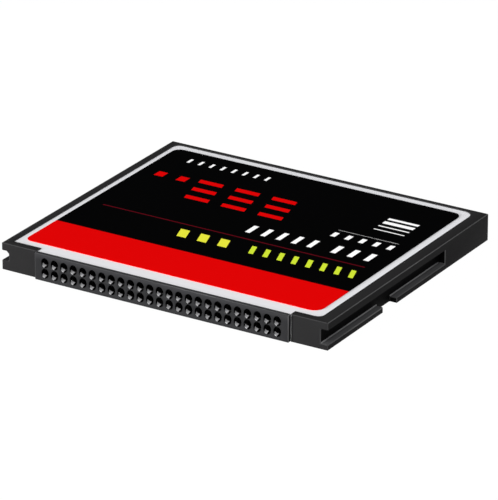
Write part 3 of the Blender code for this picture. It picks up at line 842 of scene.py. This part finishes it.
def addTongue(bm):      # a leaf that opens from the barrel towards the lead-in's lower left
    inner = tongueRows(bm, 0.0)
    outer = tongueRows(bm, contact["tongueWall"])
    pairs = list(zip(inner, inner[1:])) + list(zip(outer, outer[1:]))
    pairs += [([row[k] for row in inner], [row[k] for row in outer]) for k in (0, -1)]      # its long edges
    pairs += [(inner[i], outer[i]) for i in (0, -1)]      # its tip and its root
    for near, far in pairs:
        for corners in zip(near, near[1:], far[1:], far):
            face = bm.faces.new(corners)
            # the tongue's front takes the painted glint, its root the painted shade
            face.material_index = 1 if inPaintedGlint(face.calc_center_median()) else 0


def contactMesh(upper):
    bm = bmesh.new()
    addBarrel(bm, upper)
    addTongue(bm)
    mesh = meshFrom("upperContact" if upper else "lowerContact", bm)
    dress(mesh, ("paintedShadeContact", "paintedGlintTongue"))
    smooth(mesh, contact["smooth"])
    return mesh


def buildContacts():
    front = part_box("connector_housing")[0].y
    meshes = {upper: contactMesh(upper) for upper in (True, False)}
    for node, x, z, upper in sockets:
        piece = addObject(f"rolled_{node}", meshes[upper])
        piece.location = (x, front, z)
        stands(piece, node)


buildContacts()
print("contacts built")


# Floor, air, lamps and camera

studio = {
    "floorColour": (0.28, 0.28, 0.28),
    "floorRoughness": 0.9,
    "floorWhite": 0.90,      # how much of the floor is seen as plain white rather than lit
    "floorStrength": 1.09,
    "floorHalf": 1.5,      # metres
    "floorSteps": 8,      # squares along each side
    "floorDrop": 0.02,      # millimetres under the card
    "ambient": 0.10,
    # azimuth from the card's front towards its right, elevation, distance and width in metres, and level:
    # 1 lights a white sheet to white
    "lamps": {
        "key": (34.0, 54.0, 0.60, 0.12, 0.36),
        "front": (-32.0, 10.0, 0.60, 0.30, 1.80),
        "overhead": (-51.0, 62.0, 0.55, 0.34, 0.10),
        "rim": (153.0, 29.0, 0.60, 0.22, 0.08),
        "side": (98.0, 50.0, 0.60, 0.30, 0.34),
    },
}


def direction(azimuth, elevation):
    a = math.radians(azimuth)
    e = math.radians(elevation)
    return Vector((math.sin(a) * math.cos(e), -math.cos(a) * math.cos(e), math.sin(e)))


def seenDirectly(start):      # 1 for what the eye, gloss or glass sees, 0 for what only lights
    eye = start.add("ShaderNodeLightPath", out="Is Camera Ray")
    return eye + eye.sibling("Is Glossy Ray") + eye.sibling("Is Transmission Ray") > 0.5


def paleFloor(name):
    constants = {"Roughness": studio["floorRoughness"], "Specular IOR Level": 0.0}
    made, lit, start = newFinish(name, studio["floorColour"], constants)
    white = start.add("ShaderNodeEmission", values={"Strength": studio["floorStrength"]})
    share = seenDirectly(start) * studio["floorWhite"]
    lit = Sock(start.tree, lit.outputs[0])
    mixed = start.add("ShaderNodeMixShader", values={0: share, 1: lit, 2: white})
    feed(made.node_tree.nodes["Material Output"], "Surface", mixed)
    return made


def buildFloor():
    steps = studio["floorSteps"]
    bm = bmesh.new()
    bmesh.ops.create_grid(bm, x_segments=steps, y_segments=steps, size=studio["floorHalf"])
    floor = addObject("floor", meshFrom("floor", bm))
    floor.data.materials.append(paleFloor("paleFloor"))
    floor.location.z = -studio["floorDrop"] * mm


def buildAir():
    world = bpy.data.worlds.new("studioAir")
    bpy.context.scene.world = world
    world.use_nodes = True
    seen = Sock(world.node_tree).add("ShaderNodeLightPath", out="Is Camera Ray")
    grey = (studio["ambient"], studio["ambient"], studio["ambient"])
    feed(world.node_tree.nodes["Background"], "Color", seen.pick(grey, (1.0, 1.0, 1.0)))


def buildLamps():
    for name, (azimuth, elevation, distance, width, level) in studio["lamps"].items():
        light = bpy.data.lights.new(name, "AREA")
        light.shape = "DISK"
        light.size = width
        light.energy = level * math.pi ** 2 * distance ** 2
        lamp = addObject(name, light)
        toward = direction(azimuth, elevation)
        lamp.location = toward * distance
        lamp.rotation_euler = toward.to_track_quat("Z", "Y").to_euler()


camera = {
    "azimuth": 31.6064,      # degrees from the card's front towards its right
    "elevation": 23.2545,
    "roll": -0.0520,
    "focalPixels": 4729.21,      # in the photograph's frame
    "framePixels": 500,
    "distance": 537.71,      # millimetres from the middle of the view
    "shiftRight": 0.2503,      # where the view's middle lies from the frame's middle, in millimetres
    "shiftUp": -0.9927,
    "sensor": 36.0,
    "nearest": 10.0,      # millimetres, and nothing nearer is seen
}


def buildCamera():
    low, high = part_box("frame")
    back = direction(camera["azimuth"], camera["elevation"])
    level = Vector((0.0, 0.0, 1.0)).cross(back).normalized()
    steep = back.cross(level)
    roll = math.radians(camera["roll"])
    right = level * math.cos(roll) + steep * math.sin(roll)
    up = steep * math.cos(roll) - level * math.sin(roll)
    target = (low + high) / 2 + (right * camera["shiftRight"] + up * camera["shiftUp"]) * mm
    lens = bpy.data.cameras.new("camera")
    lens.sensor_fit = "VERTICAL"
    lens.sensor_height = camera["sensor"]
    lens.lens = camera["focalPixels"] / camera["framePixels"] * camera["sensor"]
    lens.clip_start = camera["nearest"] * mm
    made = addObject("camera", lens)
    place = target + back * camera["distance"] * mm
    made.matrix_world = Matrix.Translation(place) @ Matrix((right, up, back)).transposed().to_4x4()
    bpy.context.scene.camera = made


buildFloor()
buildAir()
buildLamps()
buildCamera()
bpy.context.scene.view_settings.view_transform = "Standard"
print("studio ready")
